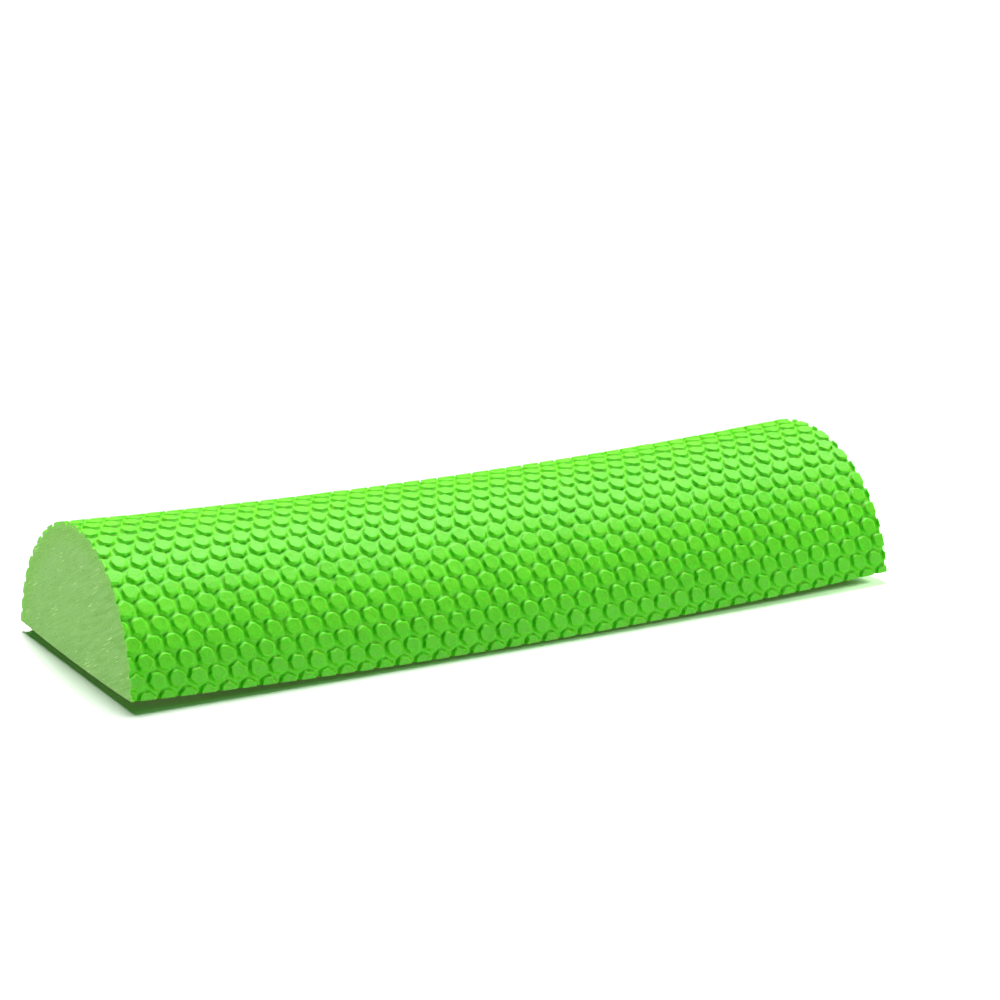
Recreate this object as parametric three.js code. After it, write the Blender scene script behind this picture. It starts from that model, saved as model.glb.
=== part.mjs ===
// Half-round massage roller: a moulded cylinder of closed-cell foam sawn in two along its length.
// It lies flat side down. Millimetres, +Z up, length along X, origin at the middle of the flat base.
// Two layers make it up: the foam core, and the moulded skin over its arch that carries the nubs.
import * as THREE from 'three';

// Driving dimensions
const LENGTH = 450;
const DIAMETER = 150; // of the whole cylinder, over the tops of the nubs
const SAW_OFFSET = 4; // from the cylinder's axis up to the flat base
const SKIN_THICKNESS = 3.2; // from the tops of the nubs down to the foam
const LAYER_GAP = 0.3;

const SKIN_OUTER_RADIUS = DIAMETER / 2;
const SKIN_INNER_RADIUS = SKIN_OUTER_RADIUS - SKIN_THICKNESS;
const CORE_RADIUS = SKIN_INNER_RADIUS - LAYER_GAP;
const ARC_SEGMENTS = 40;

const MOULDED_GREEN = 0x6fdb40;
const SAWN_GREEN = 0x94c776;

// Angle above the horizontal at which a circle about the cylinder's axis meets the flat base.
function footAngle(radius) {
  return Math.asin(SAW_OFFSET / radius);
}

// Segment of a disc, standing on its straight side.
function coreSection() {
  const section = new THREE.Shape();
  const foot = footAngle(CORE_RADIUS);
  section.absarc(0, -SAW_OFFSET, CORE_RADIUS, foot, Math.PI - foot, false);
  section.closePath();
  return section;
}

// Arch of even thickness, standing on its two feet.
function skinSection() {
  const section = new THREE.Shape();
  const outerFoot = footAngle(SKIN_OUTER_RADIUS);
  const innerFoot = footAngle(SKIN_INNER_RADIUS);
  section.absarc(0, -SAW_OFFSET, SKIN_OUTER_RADIUS, outerFoot, Math.PI - outerFoot, false);
  section.absarc(0, -SAW_OFFSET, SKIN_INNER_RADIUS, Math.PI - innerFoot, innerFoot, true);
  section.closePath();
  return section;
}

// One layer of the roller: a section drawn across the roller, run along its whole length.
function layer(name, section, color, roughness) {
  const geometry = new THREE.ExtrudeGeometry(section, {
    depth: LENGTH,
    bevelEnabled: false,
    curveSegments: ARC_SEGMENTS,
  });
  const material = new THREE.MeshStandardMaterial({ color, roughness, metalness: 0 });
  const mesh = new THREE.Mesh(geometry, material);
  mesh.name = name;
  return mesh;
}

// Sections are drawn in X and Y and extruded along Z. These turns lay them down:
// the section's X becomes Y, its Y becomes Z, and the extrusion runs along X.
function layDown(group) {
  group.rotation.set(Math.PI / 2, 0, Math.PI / 2, 'ZYX');
  group.position.set(-LENGTH / 2, 0, 0);
  return group;
}

const layers = new THREE.Group();
layers.add(layer('foam_core', coreSection(), SAWN_GREEN, 0.95));
layers.add(layer('nubbed_skin', skinSection(), MOULDED_GREEN, 0.5));

const roller = new THREE.Group();
roller.add(layDown(layers));

export default roller;
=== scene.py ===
"""Half-round foam massage roller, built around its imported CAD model.

Lengths are in metres, in the CAD frame: X along the roller, Y across it, Z up from its flat base.
The arch is laid out flat first, as (along, around, height). along is X, and around is the arc length
at the nub tops, from the level of the cylinder's axis at the front. height is measured from the
surface between the nubs.
"""
import math
import random

import bmesh
import bpy
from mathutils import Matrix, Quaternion, Vector, noise
from mathutils.geometry import delaunay_2d_cdt


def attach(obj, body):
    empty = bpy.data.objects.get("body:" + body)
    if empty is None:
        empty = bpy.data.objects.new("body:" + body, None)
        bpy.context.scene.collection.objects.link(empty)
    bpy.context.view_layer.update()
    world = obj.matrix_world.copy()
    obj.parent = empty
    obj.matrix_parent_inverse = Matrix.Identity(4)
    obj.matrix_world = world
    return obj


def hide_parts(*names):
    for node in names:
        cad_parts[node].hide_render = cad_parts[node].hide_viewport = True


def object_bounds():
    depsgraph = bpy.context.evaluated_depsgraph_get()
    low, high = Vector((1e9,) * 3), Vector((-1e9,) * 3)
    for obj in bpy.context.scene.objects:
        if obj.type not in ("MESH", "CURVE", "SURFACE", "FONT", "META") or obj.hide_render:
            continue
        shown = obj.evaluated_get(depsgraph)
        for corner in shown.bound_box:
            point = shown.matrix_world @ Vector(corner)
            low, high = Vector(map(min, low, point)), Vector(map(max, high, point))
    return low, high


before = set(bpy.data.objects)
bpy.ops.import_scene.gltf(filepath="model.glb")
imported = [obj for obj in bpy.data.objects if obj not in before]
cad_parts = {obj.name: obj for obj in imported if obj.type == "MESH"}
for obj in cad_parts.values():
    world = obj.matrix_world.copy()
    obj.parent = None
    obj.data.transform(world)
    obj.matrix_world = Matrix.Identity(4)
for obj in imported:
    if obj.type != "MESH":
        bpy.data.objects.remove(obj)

MM = 0.001

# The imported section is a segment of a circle: its height and half its width give the circle.
CAD_LOW, CAD_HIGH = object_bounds()
LENGTH = CAD_HIGH.x - CAD_LOW.x
HEIGHT = CAD_HIGH.z - CAD_LOW.z
HALF_WIDTH = (CAD_HIGH.y - CAD_LOW.y) / 2
RADIUS = (HALF_WIDTH ** 2 + HEIGHT ** 2) / (2 * HEIGHT)
SAW_OFFSET = RADIUS - HEIGHT
SKIN_THICKNESS = 3.2 * MM
CORE_RADIUS = RADIUS - SKIN_THICKNESS

# The lattice of nubs on the arch
COLUMN_PITCH = LENGTH / 42
ROW_ANGLE = math.radians(7.2)
FIRST_ROW_ANGLE = math.radians(2.97)
ROWS = 26
EVEN_ROW_START = 0.80 * COLUMN_PITCH
ROW_STEP = ROW_ANGLE * RADIUS
POINTS_PER_CELL_EDGE = 3

# One nub: the radius of its top and of its foot, and the bevel between its top and its side
NUB_HEIGHT = 1.8 * MM
NUB_TOP = 4.0 * MM
NUB_FOOT = 4.75 * MM
FOOT_HEIGHT = 0.06 * MM
BEVEL_INSET = 0.06 * MM
BEVEL_OUTSET = 0.08 * MM
BEVEL_DROP = 0.16 * MM
DISH_SPREAD = 0.80  # where the dish is half as deep, as a share of the top's radius
CELL_FILL = 0.95  # how far towards the edge of its cell a nub may reach

# How much the nubs differ from one another
NUB_SEED = 11
SIZE_SPREAD = 0.04
HEIGHT_LOSS = 0.09
PLACE_SPREAD = 0.12 * MM
TILT_SPREAD = 0.02
DEEPEST_DISH = -0.22 * MM
HIGHEST_CROWN = 0.08 * MM
RIPPLE_COUNTS = (2, 3, 5, 7)
RIPPLE_DEPTH = 0.065

# The surface between the nubs, and the skin under it
GROOVE_RADIUS = RADIUS - NUB_HEIGHT
SKIN_DEPTH = GROOVE_RADIUS - CORE_RADIUS

# The flat arch is cut along these two lines, where the base cuts the surface between the nubs.
FRONT_EDGE = math.asin(SAW_OFFSET / GROOVE_RADIUS) * RADIUS
BACK_EDGE = math.pi * RADIUS - FRONT_EDGE

# How the sawn half has warped since it was cut
END_LIFT = 0.056 * RADIUS
END_SWAY = 0.049 * RADIUS
EDGE_CURL = 0.018 * RADIUS

# The saw's marks rise towards the front on the ends and run nearly across the base.
END_SAW_ANGLE = math.radians(154)
BASE_SAW_ANGLE = math.radians(78)

# Broad and fine marks, as (width, length along the saw's path, depth, place in the noise)
SAW_MARKS = (
    (7 * MM, 60 * MM, 0.12 * MM, 3.1),
    (1.8 * MM, 22 * MM, 0.07 * MM, 8.7),
)

# Faces that meet at more than this are shaded with a crisp edge between them.
CUT_EDGE_ANGLE = math.radians(75)

# Spacing of the vertices inside the skin's inner face, which nothing shows
INNER_STEP = 9 * MM

# The core's mesh: steps along the roller, round its arch and across its base, and on its ends
CORE_COLUMNS = 180
CORE_ARC_STEPS = 150
CORE_BASE_STEPS = 76
END_FACE_SPACING = 1.3 * MM

# How near is near enough: to a cut face, and between corners that two cells share
NEAR = 1e-6
SAME_CORNER = 0.01 * MM

# What each vertex of the moulded surface is on, as its material reads it
TOP = 0.0
RIM = -1.0
WALL = 1.0
GROOVE = 2.0

# The camera's place, as a direction from the roller and a distance from the point that it looks at
VIEW_AZIMUTH = math.radians(-30.70)
VIEW_ELEVATION = math.radians(15.35)
VIEW_ROLL = math.radians(0.452)
VIEW_AIM = Vector((0.2816, 0, 0.7593)) * RADIUS
VIEW_DISTANCE = 23.4785 * RADIUS
LENS = 118.6

# Colours of the moulded skin
LIME_DARK = (0.103, 0.47, 0.007, 1)
LIME_LIGHT = (0.131, 0.53, 0.012, 1)
LIME_GRAIN = (0.16, 0.62, 0.020, 1)
# Paler rims on the nub tops: partly wear, partly a painted highlight where the rims catch the light
LIME_WORN_AND_HIGHLIGHT = (0.27, 0.72, 0.08, 1)
LIME_GROOVE = (0.124, 0.56, 0.010, 1)

# Colours of the sawn foam
SAWN_DARK = (0.37, 0.60, 0.21, 1)
SAWN_LIGHT = (0.42, 0.67, 0.25, 1)
# Painted light: the sawn ends are paler higher up, where more light falls on them
SAWN_PAINTED_LIGHT_HIGH = (0.44, 0.69, 0.265, 1)
SAWN_OUTER = (0.33, 0.64, 0.13, 1)
SAWN_RIB = (0.28, 0.54, 0.14, 1)
SAWN_STREAK = (0.52, 0.84, 0.33, 1)
# Painted shade: dark spots for the shade in small pits of the sawn face
SAWN_PIT_SHADE = (0.16, 0.40, 0.07, 1)
# Pale flecks: partly torn foam, partly a painted highlight on tiny torn ridges
SAWN_TORN_AND_HIGHLIGHT = (0.80, 1.0, 0.48, 1)

# The stage: what the camera sees of it, and what it throws at the roller
PAPER_SEEN = (0.93, 0.93, 0.93, 1)
PAPER_BOUNCE = (0.10, 0.31, 0.06, 1)
ROOM_SEEN = (1.2, 1.2, 1.2, 1)
ROOM_LIGHT = (0.015, 0.06, 0.01, 1)
WHITE_LIGHT = (1, 1, 1)


# Shape helpers

def bowed(point):
    """Bend the straight roller as the sawn foam has warped.

    The ends rise and sway to the back, sections stay square to the bent axis, and the
    long edges of the base curl up.
    """
    along = 2 * point.x / LENGTH
    rise_slope = 4 * END_LIFT * along / LENGTH
    sway_slope = 4 * END_SWAY * along / LENGTH
    curl = EDGE_CURL * (point.y / RADIUS) ** 2 * max(1 - point.z / RADIUS, 0)
    return Vector((
        point.x - point.z * rise_slope - point.y * sway_slope,
        point.y + END_SWAY * along ** 2,
        point.z + END_LIFT * along ** 2 + curl,
    ))


def saw_marks(u, v, angle):
    """Height of the saw's marks at (u, v) on a cut face, for marks that run at an angle to u."""
    along = u * math.cos(angle) + v * math.sin(angle)
    across = v * math.cos(angle) - u * math.sin(angle)
    return sum(
        depth * noise.noise(Vector((across / width, along / length, place)))
        for width, length, depth, place in SAW_MARKS
    )


def sawn(point):
    """Move a point that lies on a cut face by the marks of the saw there."""
    moved = point.copy()
    if LENGTH / 2 - abs(point.x) < NEAR:
        moved.x += saw_marks(point.y, point.z, END_SAW_ANGLE)
    if point.z < NEAR:
        moved.z += saw_marks(point.x, point.y, BASE_SAW_ANGLE)
    return moved


def filled(points, border):
    """Triangles over an area, as (points, faces). The first points, border in number, go round it."""
    edges = [(index, (index + 1) % border) for index in range(border)]
    spots, _, faces, _, _, _ = delaunay_2d_cdt(points, edges, [], 1, 1e-9)
    return spots, faces


def finish_mesh(bm, name, materials):
    """Saw marks, bow, outward faces and crisp cut edges: the last steps for both layers."""
    for vertex in bm.verts:
        vertex.co = bowed(sawn(vertex.co))
    bmesh.ops.recalc_face_normals(bm, faces=bm.faces)
    for edge in bm.edges:
        edge.smooth = edge.calc_face_angle(0) < CUT_EDGE_ANGLE
    mesh = bpy.data.meshes.new(name)
    bm.to_mesh(mesh)
    bm.free()
    for material in materials:
        mesh.materials.append(material)
    piece = bpy.data.objects.new(name, mesh)
    bpy.context.collection.objects.link(piece)
    return piece


# The moulded skin with its nubs

def cell_outline():
    """Corners and edge points of one nub's hexagonal cell, anticlockwise, about its centre."""
    half = COLUMN_PITCH / 2
    shoulder = (ROW_STEP ** 2 - half ** 2) / (2 * ROW_STEP)
    peak = (ROW_STEP ** 2 + half ** 2) / (2 * ROW_STEP)
    corners = [
        (half, -shoulder),
        (half, shoulder),
        (0, peak),
        (-half, shoulder),
        (-half, -shoulder),
        (0, -peak),
    ]
    outline = []
    for index, start in enumerate(corners):
        end = corners[(index + 1) % len(corners)]
        for step in range(POINTS_PER_CELL_EDGE):
            share = step / POINTS_PER_CELL_EDGE
            outline.append(Vector([a + share * (b - a) for a, b in zip(start, end)]))
    return outline


def nub_rings(dice):
    """(radius, height, part) of the rings that shape one nub, from the middle of its top to its foot.

    dish is how far the middle of the top stands above the top's edge. Mostly it is below.
    """
    size = 1 + dice.uniform(-SIZE_SPREAD, SIZE_SPREAD)
    height = NUB_HEIGHT * (1 - dice.uniform(0, HEIGHT_LOSS))
    dish = dice.uniform(DEEPEST_DISH, HIGHEST_CROWN)
    return [
        (0, height + dish, TOP),
        (DISH_SPREAD * NUB_TOP * size, height + 0.5 * dish, TOP),
        (NUB_TOP * size - BEVEL_INSET, height, RIM),
        (NUB_TOP * size + BEVEL_OUTSET, height - BEVEL_DROP, WALL),
        (NUB_FOOT * size, FOOT_HEIGHT, WALL),
    ]


def nub_outline(dice):
    """One nub's outline: between a rippled circle and a polygon, as a factor for each direction."""
    side = 2 * math.pi / dice.choice((5, 6, 6, 6, 7))
    turn = dice.uniform(0, side)
    squareness = dice.uniform(0.5, 1.0)
    waves = [(count, dice.uniform(0, RIPPLE_DEPTH), dice.uniform(0, 2 * math.pi)) for count in RIPPLE_COUNTS]

    def factor(angle):
        polygon = math.cos(side / 2) / math.cos((angle + turn) % side - side / 2)
        ripple = sum(depth * math.cos(count * angle + phase) for count, depth, phase in waves)
        return 1 + squareness * (polygon / math.cos(side / 2) ** 0.5 - 1) + ripple

    return factor


def random_pair(dice, spread):
    return Vector((dice.uniform(-spread, spread), dice.uniform(-spread, spread)))


class FlatArch:
    """The arch laid out flat: vertices, the part of a nub that each is on, and faces."""

    def __init__(self):
        self.vertices = []
        self.parts = []
        self.faces = []
        self.shared = {}

    def add(self, along, around, height, part):
        self.vertices.append((along, around, height))
        self.parts.append(part)
        return len(self.vertices) - 1

    def add_shared(self, along, around, height):
        """A vertex on the edge between cells, which the neighbouring cells use too."""
        key = (round(along / SAME_CORNER), round(around / SAME_CORNER))
        if key not in self.shared:
            self.shared[key] = self.add(along, around, height, GROOVE)
        return self.shared[key]

    def add_nub(self, centre, outline, dice):
        """One nub and the rest of its cell, as rings of faces round the middle of its top."""
        factor = nub_outline(dice)
        offset = random_pair(dice, PLACE_SPREAD)
        tilt = random_pair(dice, TILT_SPREAD)
        rings = nub_rings(dice)
        middle = self.add(centre.x + offset.x, centre.y + offset.y, rings[0][1], TOP)
        inner = None
        for radius, height, part in rings[1:]:
            ring = []
            for point in outline:
                reach = radius * factor(math.atan2(point.y, point.x))
                spot = offset + point.normalized() * min(reach, CELL_FILL * point.length)
                lean = spot.dot(tilt) if height > NUB_HEIGHT / 2 else 0
                ring.append(self.add(centre.x + spot.x, centre.y + spot.y, height + lean, part))
            self.join(middle, inner, ring)
            inner = ring
        edge = [self.add_shared(centre.x + p.x, centre.y + p.y, 0) for p in outline]
        self.join(middle, inner, edge)

    def join(self, middle, inner, outer):
        """Faces between two rings, or between the middle vertex and the first ring."""
        count = len(outer)
        for index in range(count):
            following = (index + 1) % count
            if inner is None:
                self.faces.append((middle, outer[index], outer[following]))
            else:
                self.faces.append((inner[index], outer[index], outer[following], inner[following]))


def nub_field():
    """Every nub's cell that reaches the arch, laid out flat and untrimmed."""
    dice = random.Random(NUB_SEED)
    field = FlatArch()
    outline = cell_outline()
    columns = math.ceil(LENGTH / COLUMN_PITCH) + 2
    for row in range(-1, ROWS):
        start = EVEN_ROW_START if row % 2 == 0 else EVEN_ROW_START - COLUMN_PITCH / 2
        for column in range(-1, columns):
            along = -LENGTH / 2 + start + column * COLUMN_PITCH
            around = (FIRST_ROW_ANGLE + row * ROW_ANGLE) * RADIUS
            field.add_nub(Vector((along, around)), outline, dice)
    return field


def trim(bm):
    """Cut the flat arch where the saw cut it: at both ends and along both edges of the base."""
    cuts = [
        (Vector((-LENGTH / 2, 0, 0)), Vector((-1, 0, 0))),
        (Vector((LENGTH / 2, 0, 0)), Vector((1, 0, 0))),
        (Vector((0, FRONT_EDGE, 0)), Vector((0, -1, 0))),
        (Vector((0, BACK_EDGE, 0)), Vector((0, 1, 0))),
    ]
    for spot, outward in cuts:
        bmesh.ops.bisect_plane(
            bm,
            geom=bm.verts[:] + bm.edges[:] + bm.faces[:],
            dist=1e-7,
            plane_co=spot,
            plane_no=outward,
            clear_outer=True,
        )


def on_base(around):
    """Whether a place on the flat arch lies on the cut along the base."""
    return around < FRONT_EDGE + NEAR or around > BACK_EDGE - NEAR


def ordered_boundary(bm):
    """The vertices of the trimmed edge, in order round the flat arch."""
    first = next(edge for edge in bm.edges if edge.is_boundary)
    loop = [first.verts[0]]
    edge = first
    while True:
        vertex = edge.other_vert(loop[-1])
        if vertex is loop[0]:
            return loop
        loop.append(vertex)
        edge = next(e for e in vertex.link_edges if e.is_boundary and e is not edge)


def close_skin(bm):
    """Add the cut walls round the trimmed edge and the inner face that lies on the core."""
    rim = ordered_boundary(bm)
    under = [bm.verts.new((v.co.x, v.co.y, -SKIN_DEPTH)) for v in rim]
    count = len(rim)
    for index in range(count):
        following = (index + 1) % count
        wall = bm.faces.new((rim[index], rim[following], under[following], under[index]))
        middle = (rim[index].co + rim[following].co) / 2
        wall.material_index = 2 if on_base(middle.y) else 1
    flat = [Vector((v.co.x, v.co.y)) for v in under]
    columns = round(LENGTH / INNER_STEP)
    rows = round((BACK_EDGE - FRONT_EDGE) / INNER_STEP)
    for i in range(1, columns):
        for j in range(1, rows):
            around = FRONT_EDGE + (BACK_EDGE - FRONT_EDGE) * j / rows
            flat.append(Vector((-LENGTH / 2 + LENGTH * i / columns, around)))
    spots, faces = filled(flat, count)
    inner = under + [bm.verts.new((p.x, p.y, -SKIN_DEPTH)) for p in spots[count:]]
    for face in faces:
        bm.faces.new([inner[index] for index in face])


def roll_up(bm):
    """Bend the flat arch round the cylinder's axis, with its cut edges on the base plane."""
    for vertex in bm.verts:
        along, around, height = vertex.co
        angle = around / RADIUS
        reach = GROOVE_RADIUS + height
        z = 0 if on_base(around) else reach * math.sin(angle) - SAW_OFFSET
        vertex.co = Vector((along, -reach * math.cos(angle), z))


def make_skin(materials):
    """The skin. Its materials are the moulded surface, the cut ends and the cut base, in that order."""
    field = nub_field()
    mesh = bpy.data.meshes.new("flat_arch")
    mesh.from_pydata(field.vertices, [], field.faces)
    mesh.attributes.new("nub_part", "FLOAT", "POINT").data.foreach_set("value", field.parts)
    bm = bmesh.new()
    bm.from_mesh(mesh)
    bpy.data.meshes.remove(mesh)
    trim(bm)
    for face in bm.faces:
        face.smooth = True
    close_skin(bm)
    roll_up(bm)
    return finish_mesh(bm, "roller_skin", materials)


# The foam core

def core_outline(arc_steps, base_steps):
    """The core's section as (y, z) points: over the arch, then back along the base."""
    foot = math.asin(SAW_OFFSET / CORE_RADIUS)
    reach = CORE_RADIUS * math.cos(foot)
    points = []
    for index in range(arc_steps):
        angle = foot + (math.pi - 2 * foot) * index / arc_steps
        points.append(Vector((-CORE_RADIUS * math.cos(angle), CORE_RADIUS * math.sin(angle) - SAW_OFFSET)))
    for index in range(base_steps):
        points.append(Vector((reach * (1 - 2 * index / base_steps), 0)))
    return points


def end_face_points(spacing):
    """Points spread evenly over the inside of the core's end face."""
    points = []
    row_height = spacing * math.sqrt(3) / 2
    for row in range(1, int((CORE_RADIUS - SAW_OFFSET) / row_height)):
        z = row * row_height
        reach = math.sqrt(CORE_RADIUS ** 2 - (z + SAW_OFFSET) ** 2) - spacing / 2
        shift = spacing / 2 if row % 2 else 0
        for column in range(-int(CORE_RADIUS / spacing), int(CORE_RADIUS / spacing) + 1):
            y = column * spacing + shift
            if abs(y) < reach:
                points.append(Vector((y, z)))
    return points


def make_core(materials):
    """The core. Its materials are the cut ends, then everything else."""
    outline = core_outline(CORE_ARC_STEPS, CORE_BASE_STEPS)
    count = len(outline)
    bm = bmesh.new()
    rings = []
    for column in range(CORE_COLUMNS + 1):
        x = -LENGTH / 2 + LENGTH * column / CORE_COLUMNS
        rings.append([bm.verts.new((x, p.x, p.y)) for p in outline])
    for left, right in zip(rings, rings[1:]):
        for index in range(count):
            following = (index + 1) % count
            face = bm.faces.new((left[index], left[following], right[following], right[index]))
            face.smooth = True
            face.material_index = 1
    spots, faces = filled(outline + end_face_points(END_FACE_SPACING), count)
    for ring in (rings[0], rings[-1]):
        x = ring[0].co.x
        corners = ring + [bm.verts.new((x, p.x, p.y)) for p in spots[count:]]
        for triangle in faces:
            face = bm.faces.new([corners[index] for index in triangle])
            face.smooth = True
    return finish_mesh(bm, "roller_core", materials)


# Materials

class Nodes:
    """Short ways to add and link the nodes of one material."""

    def __init__(self, name):
        self.material = bpy.data.materials.new(name)
        self.material.use_nodes = True
        self.tree = self.material.node_tree
        self.shader = self.tree.nodes["Principled BSDF"]

    def add(self, kind, inputs=None, **settings):
        node = self.tree.nodes.new(kind)
        for key, value in settings.items():
            setattr(node, key, value)
        for socket, value in (inputs or {}).items():
            if isinstance(value, bpy.types.NodeSocket):
                self.tree.links.new(value, node.inputs[socket])
            else:
                node.inputs[socket].default_value = value
        return node

    def link(self, output, socket):
        self.tree.links.new(output, self.shader.inputs[socket])

    def place(self):
        return self.add("ShaderNodeTexCoord").outputs["Object"]

    def noise(self, place, size, detail=3.0, roughness=0.5):
        """Noise whose features are about size metres across."""
        inputs = {"Vector": place, "Scale": 1 / size, "Detail": detail, "Roughness": roughness}
        return self.add("ShaderNodeTexNoise", inputs).outputs["Fac"]

    def drawn_out(self, turned, size, length, detail, roughness=0.5):
        """Noise size across the saw's path and length times as long along it, which is turned's X."""
        return self.noise(self.scaled(turned, (1 / length, 1, 1)), size, detail, roughness)

    def ramp(self, value, low, high, start=0.0, end=1.0):
        """Map value from low..high to start..end, clamped."""
        inputs = {0: value, 1: low, 2: high, 3: start, 4: end}
        return self.add("ShaderNodeMapRange", inputs).outputs[0]

    def mix(self, factor, first, second):
        return self.add("ShaderNodeMix", {0: factor, 6: first, 7: second}, data_type="RGBA").outputs[2]

    def scaled(self, place, factors):
        return self.add("ShaderNodeVectorMath", {0: place, 1: factors}, operation="MULTIPLY").outputs[0]

    def bump(self, height, distance, under=None):
        """Bumps up to distance metres high in the pattern of height, on top of any that lie under them."""
        inputs = {"Height": height, "Distance": distance, "Strength": 1.0}
        if under is not None:
            inputs["Normal"] = under
        return self.add("ShaderNodeBump", inputs).outputs["Normal"]


def moulded_foam():
    """The smooth moulded skin: satin lime green, with light scattered under it, and paler rims on the nub
    tops that are partly wear and partly a painted highlight.
    """
    n = Nodes("moulded_foam")
    place = n.place()
    part = n.add("ShaderNodeAttribute", attribute_name="nub_part").outputs["Fac"]
    mottle = n.ramp(n.noise(place, 30 * MM, 4), 0.3, 0.7)
    grain = n.ramp(n.noise(place, 1.2 * MM, 4), 0.3, 0.7)
    wear_and_highlight = n.ramp(n.noise(place, 6 * MM, 2), 0.4, 0.65, 0, 0.6)
    colour = n.mix(mottle, LIME_DARK, LIME_LIGHT)
    colour = n.mix(n.ramp(grain, 0, 1, 0, 0.5), colour, LIME_GRAIN)
    # Paler rims along the nub tops' edges: partly wear, partly a painted highlight
    colour = n.mix(n.ramp(part, 0.5 * RIM, RIM, 0, wear_and_highlight), colour, LIME_WORN_AND_HIGHLIGHT)
    colour = n.mix(n.ramp(part, WALL, GROOVE), colour, LIME_GROOVE)
    n.link(colour, "Base Color")
    n.link(n.ramp(grain, 0, 1, 0.52, 0.64), "Roughness")
    peel = n.bump(n.noise(place, 1.1 * MM, 3), 0.20 * MM)
    n.link(n.bump(n.noise(place, 4 * MM, 2), 0.32 * MM, under=peel), "Normal")
    n.shader.inputs["Specular IOR Level"].default_value = 0.33
    n.shader.inputs["Subsurface Weight"].default_value = 1.0
    n.shader.inputs["Subsurface Radius"].default_value = (0.1, 1.0, 0.05)
    n.shader.inputs["Subsurface Scale"].default_value = 1.4 * MM
    return n.material


def clean_foam(n, place, flat, height):
    """The foam's colour on a sawn face: cloudy and greener near the skin, with painted light that makes it
    paler higher up.
    """
    cloud = n.ramp(n.noise(flat, 25 * MM, 3), 0.35, 0.65)
    section = n.scaled(place, (0, 1, 1))
    section = n.add("ShaderNodeVectorMath", {0: section, 1: (0, 0, SAW_OFFSET)}).outputs[0]
    from_axis = n.add("ShaderNodeVectorMath", {0: section}, operation="LENGTH").outputs["Value"]
    colour = n.mix(cloud, SAWN_DARK, SAWN_LIGHT)
    # Painted light: paler towards the top of a sawn end
    colour = n.mix(n.ramp(height, 0, HEIGHT), colour, SAWN_PAINTED_LIGHT_HIGH)
    return n.mix(n.ramp(from_axis, 0.86 * RADIUS, RADIUS, 0, 0.6), colour, SAWN_OUTER)


def torn_and_highlight_flecks(n, flat, turned):
    """Pale flecks, partly where the saw has torn the foam and partly a painted highlight on the torn ridges:
    where one noise rises above a level that falls in some patches.
    """
    torn_and_highlight = n.drawn_out(turned, 0.75 * MM, 16, 1)
    level = n.ramp(n.noise(flat, 16 * MM, 2), 0.48, 0.62, 0.74, 0.62)
    above = n.add("ShaderNodeMath", {0: torn_and_highlight, 1: level}, operation="SUBTRACT").outputs[0]
    return n.ramp(above, 0, 0.03, 0, 0.9)


def sawn_foam(name, axes, angle):
    """A sawn face: pale and matte, with ribs and streaks along the saw's path, dark pits that are painted
    shade, and pale torn flecks that are partly a painted highlight.

    axes are the two object axes that span the face, and angle is the streaks' angle to the first.
    The ribs are stronger towards the front.
    """
    n = Nodes(name)
    place = n.place()
    parts = n.add("ShaderNodeSeparateXYZ", {0: place}).outputs
    flat = n.add("ShaderNodeCombineXYZ", {0: parts[axes[0]], 1: parts[axes[1]]}).outputs[0]
    turn = {"Vector": flat, "Angle": -angle}
    turned = n.add("ShaderNodeVectorRotate", turn, rotation_type="Z_AXIS").outputs[0]
    streaks = n.drawn_out(turned, 1.0 * MM, 14, 4, 0.65)
    ribs = n.drawn_out(turned, 2.6 * MM, 9, 2)
    pit_shade = n.drawn_out(turned, 0.9 * MM, 3, 1)
    forward = n.ramp(parts[1], 0.3 * RADIUS, -RADIUS, 0.2, 0.9)
    colour = clean_foam(n, place, flat, parts[2])
    colour = n.mix(n.ramp(ribs, 0.40, 0.65, 0, forward), colour, SAWN_RIB)
    colour = n.mix(n.ramp(streaks, 0.50, 0.75, 0, 0.6), colour, SAWN_STREAK)
    # Painted shade in small pits
    colour = n.mix(n.ramp(pit_shade, 0.32, 0.29, 0, 0.8), colour, SAWN_PIT_SHADE)
    # Pale flecks: partly torn foam, partly a painted highlight
    colour = n.mix(torn_and_highlight_flecks(n, flat, turned), colour, SAWN_TORN_AND_HIGHLIGHT)
    n.link(colour, "Base Color")
    n.link(n.ramp(streaks, 0.3, 0.7, 0.85, 0.95), "Roughness")
    n.link(n.bump(ribs, 0.8 * MM, under=n.bump(streaks, 0.4 * MM)), "Normal")
    n.shader.inputs["Specular IOR Level"].default_value = 0.3
    return n.material


# Stage, light and camera

def floor_paper():
    """Paper that is white to look at and throws only a weak green light back at the roller."""
    n = Nodes("floor_paper")
    seen = n.add("ShaderNodeLightPath").outputs["Is Camera Ray"]
    n.link(n.mix(seen, PAPER_BOUNCE, PAPER_SEEN), "Base Color")
    n.shader.inputs["Roughness"].default_value = 0.9
    n.shader.inputs["Specular IOR Level"].default_value = 0.0
    return n.material


def make_floor():
    half = 30
    corners = [(-half, -half, 0), (half, -half, 0), (half, half, 0), (-half, half, 0)]
    mesh = bpy.data.meshes.new("floor")
    mesh.from_pydata(corners, [], [(0, 1, 2, 3)])
    mesh.materials.append(floor_paper())
    floor = bpy.data.objects.new("floor", mesh)
    bpy.context.collection.objects.link(floor)
    return floor


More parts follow.
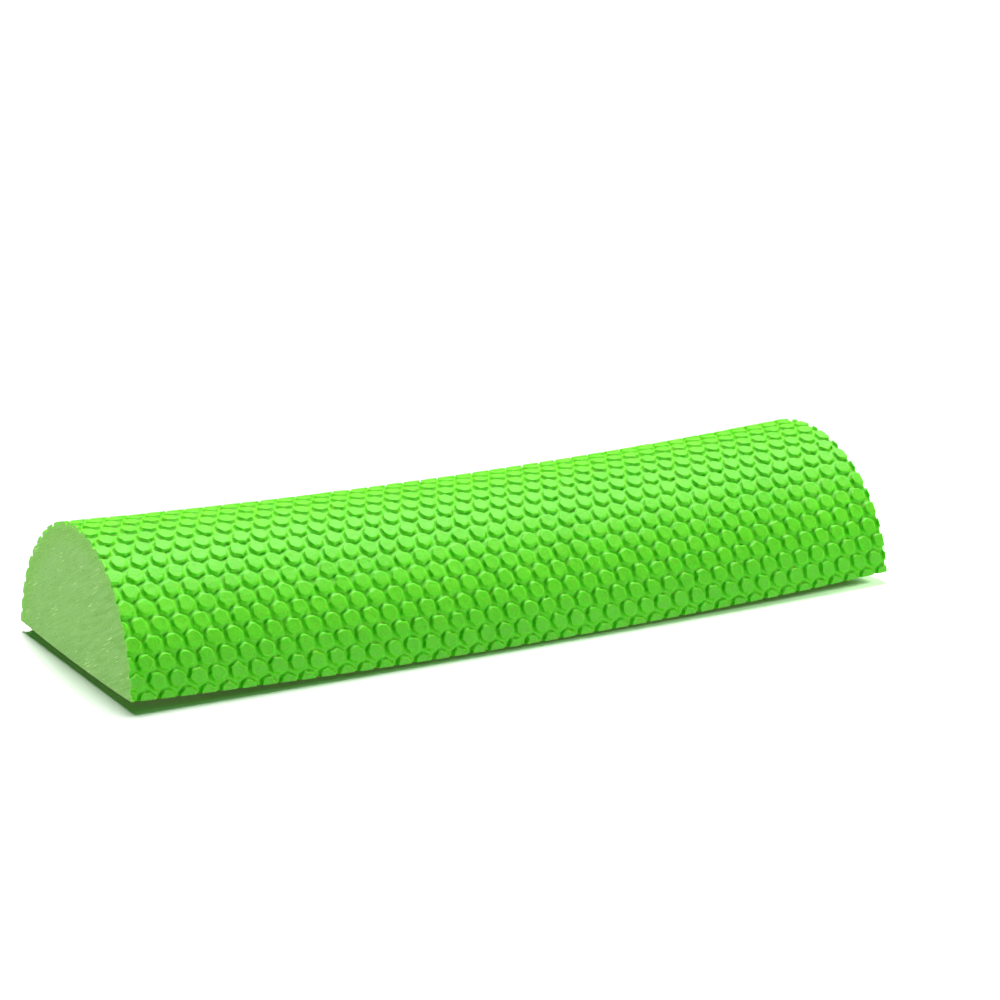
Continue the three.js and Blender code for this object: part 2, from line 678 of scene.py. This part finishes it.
def make_room():
    """A room that is white to look at and gives a weak, even, green light."""
    world = bpy.data.worlds.new("room")
    world.use_nodes = True
    tree = world.node_tree
    background = tree.nodes["Background"]
    seen = tree.nodes.new("ShaderNodeLightPath").outputs["Is Camera Ray"]
    colour = tree.nodes.new("ShaderNodeMix")
    colour.data_type = "RGBA"
    colour.inputs[6].default_value = ROOM_LIGHT
    colour.inputs[7].default_value = ROOM_SEEN
    tree.links.new(seen, colour.inputs[0])
    tree.links.new(colour.outputs[2], background.inputs["Color"])
    bpy.context.scene.world = world


def add_lamp(lamp, lit):
    """Put a lamp in the scene, as an object that lights only the objects in lit."""
    holder = bpy.data.objects.new(lamp.name, lamp)
    holder.light_linking.receiver_collection = lit
    bpy.context.collection.objects.link(holder)
    return holder


def far_lamp(name, towards, energy, spread, lit, shaded_by, tint=WHITE_LIGHT):
    """A broad, far lamp. towards points at it, and spread is the angle in degrees that it fills."""
    lamp = bpy.data.lights.new(name, "SUN")
    lamp.energy = energy
    lamp.angle = math.radians(spread)
    lamp.color = tint
    holder = add_lamp(lamp, lit)
    holder.rotation_euler = Vector(towards).to_track_quat("Z", "Y").to_euler()
    holder.light_linking.blocker_collection = shaded_by


def near_lamp(name, place, energy, size, lit, tint):
    """A small lamp close to the roller, out of sight itself."""
    lamp = bpy.data.lights.new(name, "POINT")
    lamp.energy = energy
    lamp.shadow_soft_size = size
    lamp.color = tint
    holder = add_lamp(lamp, lit)
    holder.location = place
    holder.visible_camera = False


def group_of(name, pieces):
    group = bpy.data.collections.new(name)
    for piece in pieces:
        group.objects.link(piece)
    return group


def make_light(core, skin, floor):
    """Lamps for the roller and lamps for the floor. Only the roller stands in the far lamps' way."""
    make_room()
    roller = group_of("lit_roller", [core, skin])
    outside = group_of("lit_skin", [skin])
    ground = group_of("lit_floor", [floor])
    # The sheen on the crown, and shade under each nub
    far_lamp("overhead", (0.24, 0.20, 0.95), 5.8, 28, roller, roller)
    # Light thrown back by a bright table: it leaves the left of each low nub in shade
    far_lamp("low_front_right", (0.46, -0.87, -0.18), 2.3, 20, roller, roller, tint=(0.95, 1, 0.82))
    # Light on the left end
    far_lamp("left_back", (-0.91, 0.40, 0.10), 2.06, 12, roller, roller)
    # Light that the bright skin scatters into its own shade
    far_lamp("green_fill", (-0.45, -0.85, 0.25), 0.7, 60, outside, roller, tint=(0.08, 1, 0.03))
    # Light on the floor, round the roller's shadow
    far_lamp("floor_light", (0.13, 0.38, 0.91), 4.4, 20, ground, roller)
    # The green tinge of that shadow
    far_lamp("green_glow", (-0.40, -0.50, 0.77), 0.25, 60, ground, roller, tint=(0.05, 1, 0.02))
    # A lift for the floor's shadow near the right end
    near_lamp("near_right", (0.40, -0.12, 0.10), 4.0, 0.05, ground, (0.7, 1, 0.62))


def make_camera():
    """A camera far away, so that the view is nearly parallel, turned a little about its own axis."""
    back = Vector((
        math.sin(VIEW_AZIMUTH) * math.cos(VIEW_ELEVATION),
        -math.cos(VIEW_AZIMUTH) * math.cos(VIEW_ELEVATION),
        math.sin(VIEW_ELEVATION),
    ))
    camera = bpy.data.cameras.new("camera")
    camera.lens = LENS
    camera.sensor_width = 36
    camera.clip_end = 100
    holder = bpy.data.objects.new("camera", camera)
    holder.location = VIEW_AIM + back * VIEW_DISTANCE
    level = back.to_track_quat("Z", "Y")
    holder.rotation_euler = (level @ Quaternion((0, 0, 1), VIEW_ROLL)).to_euler()
    bpy.context.collection.objects.link(holder)
    bpy.context.scene.camera = holder


def main():
    end_cut = sawn_foam("sawn_end", (1, 2), END_SAW_ANGLE)
    base_cut = sawn_foam("sawn_base", (0, 1), BASE_SAW_ANGLE)
    core = make_core([end_cut, base_cut])
    skin = make_skin([moulded_foam(), end_cut, base_cut])
    for piece, node, slot in ((core, "foam_core", "sawn_foam"), (skin, "nubbed_skin", "moulded_foam")):
        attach(piece, "root")
        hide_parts(node)
    make_light(core, skin, make_floor())
    make_camera()
    bpy.context.scene.view_settings.view_transform = "Standard"


main()
